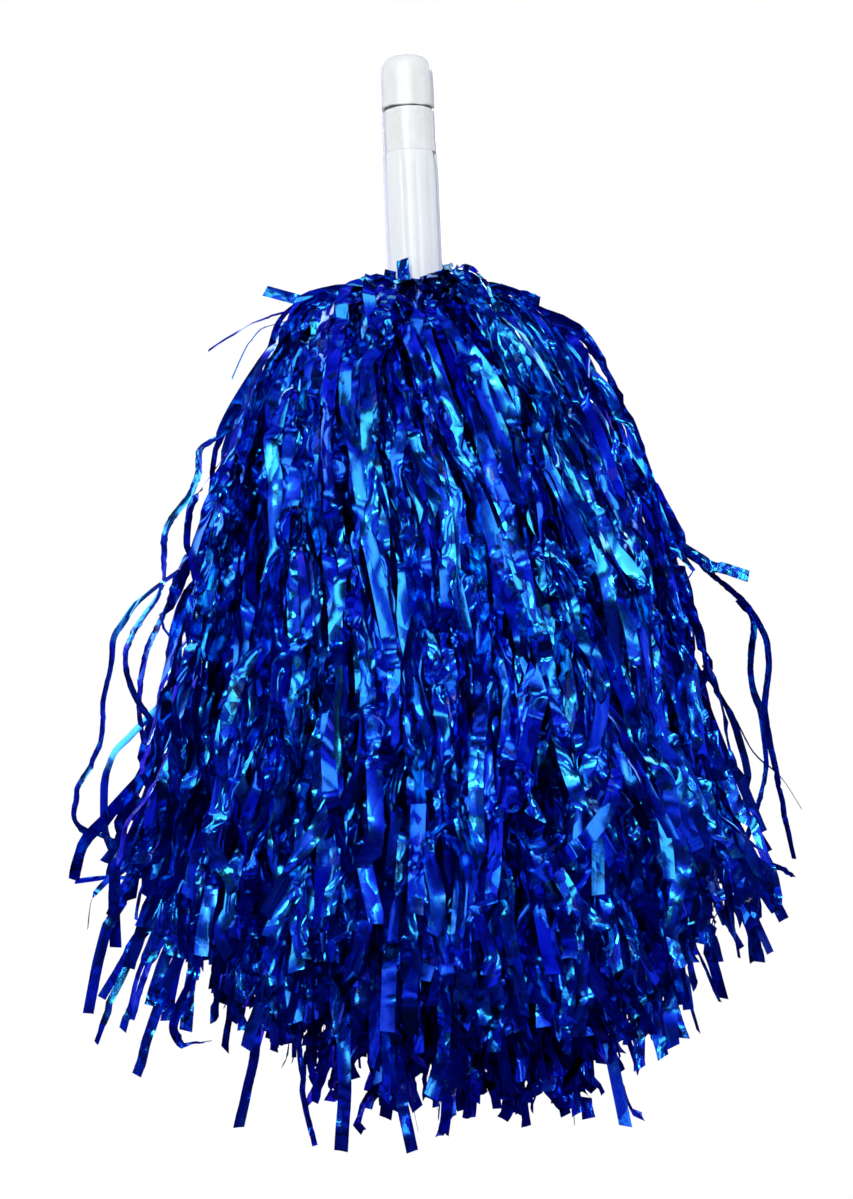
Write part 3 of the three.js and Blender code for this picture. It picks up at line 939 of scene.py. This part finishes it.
HANDLE_LIGHTS = [
    ("handle_key", -14, 25, 1.2, (0.5, 0.9), 4.0),
    ("handle_fill", 16, 5, 1.2, (0.3, 0.9), 1.9),
    ("handle_back", 175, 15, 1.2, (0.5, 0.9), 3.8),
    ("handle_side_-96", -96, 12, 1.2, (0.3, 0.9), 1.3),
    ("handle_side_96", 96, 12, 1.2, (0.3, 0.9), 1.3),
]
# Small bright lights, as azimuth and elevation.
GLINTS = [(-18, 38), (8, 10), (34, 34), (-50, 8), (150, 30), (-130, 12), (80, 10)]


def room_light(n, place, scale, strength):
    """The colour of floor and walls: white to the camera, grey to the plastic, and to the film a dim blue
    room with a few brighter things in it."""
    clutter = n.add("ShaderNodeTexNoise", {"Vector": place, "Scale": scale, "Detail": 2})
    colours = [(at, [strength * c for c in colour]) for at, colour in ROOM_COLOURS]
    room = n.ramp(clutter.outputs["Fac"], colours)
    path = n.add("ShaderNodeLightPath")
    even = n.ramp(path.outputs["Is Camera Ray"], [(0.0, (0.24, 0.24, 0.24)), (1.0, (1, 1, 1))])
    mix = n.add("ShaderNodeMix", {"Factor": path.outputs["Is Glossy Ray"]}, data_type="RGBA")
    n.tree.links.new(even, mix.inputs[6])
    n.tree.links.new(room, mix.inputs[7])
    return mix.outputs[2]


def stage():
    """A pale floor well under the bell."""
    mesh = bpy.data.meshes.new("floor")
    half, z = FLOOR_SIZE / 2, BOTTOM_Z - FLOOR_GAP
    corners = [(-half, -half, z), (half, -half, z), (half, half, z), (-half, half, z)]
    mesh.from_pydata(corners, [], [(0, 1, 2, 3)])
    floor = bpy.data.objects.new("floor", mesh)
    bpy.context.scene.collection.objects.link(floor)
    n = Nodes(bpy.data.materials.new("floor"))
    place = n.add("ShaderNodeTexCoord").outputs["Object"]
    seen = n.add("ShaderNodeEmission", {"Color": room_light(n, place, 3.0, 0.3)})
    n.tree.links.new(seen.outputs[0], n.tree.nodes["Material Output"].inputs["Surface"])
    mesh.materials.append(n.owner)


def softbox(name, azimuth, elevation, distance, size, radiance, only=None, tint=(1, 1, 1)):
    """A rectangular light round the bell, aimed at its middle. Azimuth 0 is the camera's side."""
    data = bpy.data.lights.new(name, "AREA")
    data.shape = "RECTANGLE"
    data.size, data.size_y = size
    data.energy = radiance * math.pi * size[0] * size[1]
    data.color = tint
    light = bpy.data.objects.new(name, data)
    bpy.context.scene.collection.objects.link(light)
    a, e = math.radians(azimuth), math.radians(elevation)
    back = Vector((math.sin(a) * math.cos(e), -math.cos(a) * math.cos(e), math.sin(e)))
    light.location = LIGHTS_AIM + back * distance
    light.rotation_euler = back.to_track_quat("Z", "Y").to_euler()
    if only:
        light.light_linking.receiver_collection = only


def lights():
    """Softboxes and glints for the film, and softboxes that light the handle alone."""
    for row in FILM_LIGHTS:
        softbox(*row)
    for number, (azimuth, elevation) in enumerate(GLINTS):
        softbox(f"glint_{number}", azimuth, elevation, 1.4, (0.07, 0.07), 30)
    for row in HANDLE_LIGHTS:
        softbox(*row, only=HANDLE_ONLY, tint=HANDLE_TINT)


def world():
    """The walls of the room, which the film mirrors."""
    bpy.context.scene.world = bpy.data.worlds.new("world")
    n = Nodes(bpy.context.scene.world)
    place = n.add("ShaderNodeTexCoord").outputs["Generated"]
    n.tree.links.new(room_light(n, place, 3.2, 1), n.tree.nodes["Background"].inputs["Color"])


def camera():
    """A level view from the front, rolled a little, so that the stick leans to the left."""
    data = bpy.data.cameras.new("camera")
    data.lens = 53
    data.sensor_width = 36
    data.clip_start, data.clip_end = 0.01, 30
    cam = bpy.data.objects.new("camera", data)
    bpy.context.scene.collection.objects.link(cam)
    aim = Vector((-0.0011, 0, -0.1593))
    cam.location = aim - Vector((0, 0.65, 0))
    roll = Matrix.Rotation(math.radians(2.5), 4, "Y")
    forward = Matrix.Rotation(math.pi / 2, 4, "X")
    cam.rotation_euler = (roll @ forward).to_euler()
    bpy.context.scene.camera = cam


# ---- the model ----
camera()
world()
stage()
lights()
bpy.context.scene.view_settings.view_transform = "Standard"

outer_film = film_material("outer_film", (0.008, 0.085, 0.66), (0.03, 0.42, 0.74))
# The inner strips, the core and the headers get a darker copy of the same film: painted shade for their
# place deep inside the bell.
painted_shade_inner_film = film_material("painted_shade_inner_film", (0.006, 0.05, 0.38), (0.015, 0.15, 0.6))
for number in range(1, TUFTS + 1):
    tuft(number, "outer", OUTER_LAYER, OUTER_STRIPS, outer_film, OUTER_SEED + number)
    tuft(number, "inner", INNER_LAYER, INNER_STRIPS, painted_shade_inner_film, INNER_SEED + number)
core(painted_shade_inner_film)
frill(outer_film)
wound("inner_header_film", "inner_header", "handle_tube", 6, painted_shade_inner_film)
wound("outer_header_film", "outer_header", "inner_header", 5, painted_shade_inner_film)
twisted_wire(wire_material())
cap()
collar()
sleeve()
# Dark grey plastic for the tube and plug: a painted shadow, so that the seam gap under the cap shows as a
# dark line.
tube_plastic = plastic_material("tube_plastic", (0.36, 0.37, 0.37), (0.28, 0.29, 0.29), 0.5, 0.4)
for name, material in (
    ("handle_tube", tube_plastic),
    ("tube_plug", tube_plastic),
    ("binding_tape", tape_material()),
):
    bpy.data.objects[name].material_slots[0].material = material
